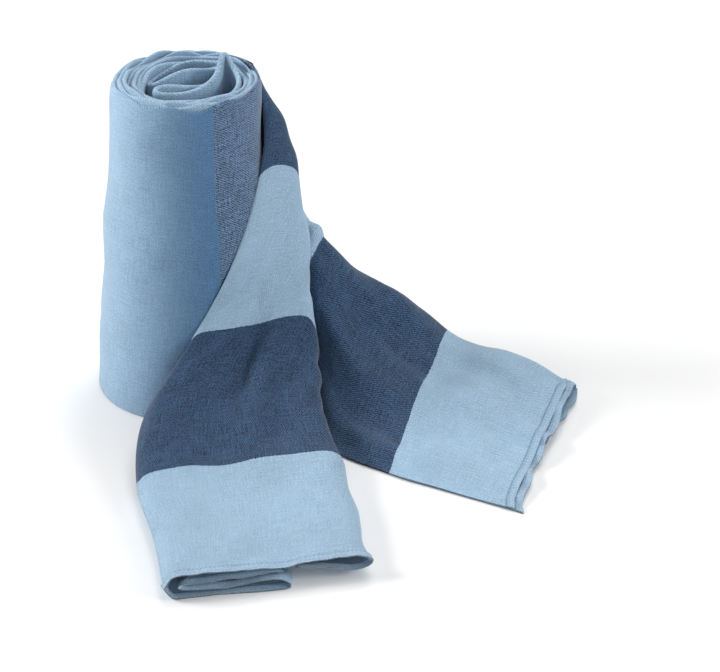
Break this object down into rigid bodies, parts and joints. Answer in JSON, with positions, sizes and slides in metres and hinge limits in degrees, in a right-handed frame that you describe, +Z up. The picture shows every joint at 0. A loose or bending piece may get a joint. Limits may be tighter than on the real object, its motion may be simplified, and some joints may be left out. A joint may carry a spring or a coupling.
{
  "type": "baby wrap sling",
  "caption": "Long woven baby wrap carrier in wide light and dark blue blocks, folded lengthwise and rolled upright, with both hemmed ends lying loose.",
  "frame": {"origin": "on the roll's axis, at the floor that the wrap stands on", "axes": "+Z up along the roll, +X to the right and +Y away, seen from the side where the front tail lies"},
  "size_m": [0.4872, 0.4879, 0.35],
  "materials": {
    "light_cloth": "matte",
    "dark_cloth": "matte",
    "hem_thread": "matte",
    "marker_tape": "matte"
  },
  "bodies": {
    "root": {"front_block_03": "light_cloth", "front_block_05": "light_cloth", "front_block_07": "light_cloth", "front_block_09": "light_cloth", "front_block_11": "light_cloth", "back_block_05": "light_cloth", "back_block_07": "light_cloth", "back_block_09": "light_cloth", "back_block_11": "light_cloth", "middle_block": "light_cloth", "front_block_04": "dark_cloth", "front_block_06": "dark_cloth", "front_block_08": "dark_cloth", "front_block_10": "dark_cloth", "front_block_12": "dark_cloth", "front_block_04_rolled": "dark_cloth", "back_block_04": "dark_cloth", "back_block_06": "dark_cloth", "back_block_08": "dark_cloth", "back_block_10": "dark_cloth", "back_block_12": "dark_cloth", "centre_tag_front_ply": "marker_tape", "centre_tag_back_ply": "marker_tape"},
    "front_tail": {"front_block_02": "dark_cloth"},
    "front_end": {"front_block_01": "light_cloth", "front_hem": "light_cloth", "front_hem_thread": "hem_thread"},
    "back_tail": {"back_block_02": "dark_cloth", "back_block_03": "light_cloth"},
    "back_end": {"back_block_01": "light_cloth", "back_hem": "light_cloth", "back_hem_thread": "hem_thread"}
  },
  "joints": [
    {"name": "front_tail_lift", "type": "hinge", "parent": "root", "child": "front_tail", "pos_m": [0.07373, -0.07301, 0.10003], "axis": [-0.9561, -0.2797, -0.087], "range_deg": [0, 30]},
    {"name": "front_end_lift", "type": "hinge", "parent": "front_tail", "child": "front_end", "pos_m": [0.06466, -0.21737, 0.02527], "axis": [-0.9777, -0.2087, 0.0222], "range_deg": [0, 50]},
    {"name": "back_tail_swing", "type": "hinge", "parent": "root", "child": "back_tail", "pos_m": [0.04325, 0.07347, 0], "axis": [0, 0, 1], "range_deg": [0, 40]},
    {"name": "back_end_lift", "type": "hinge", "parent": "back_tail", "child": "back_end", "pos_m": [0.24695, -0.07224, 0.02104], "axis": [-0.2728, -0.9496, -0.1547], "range_deg": [0, 50]}
  ]
}
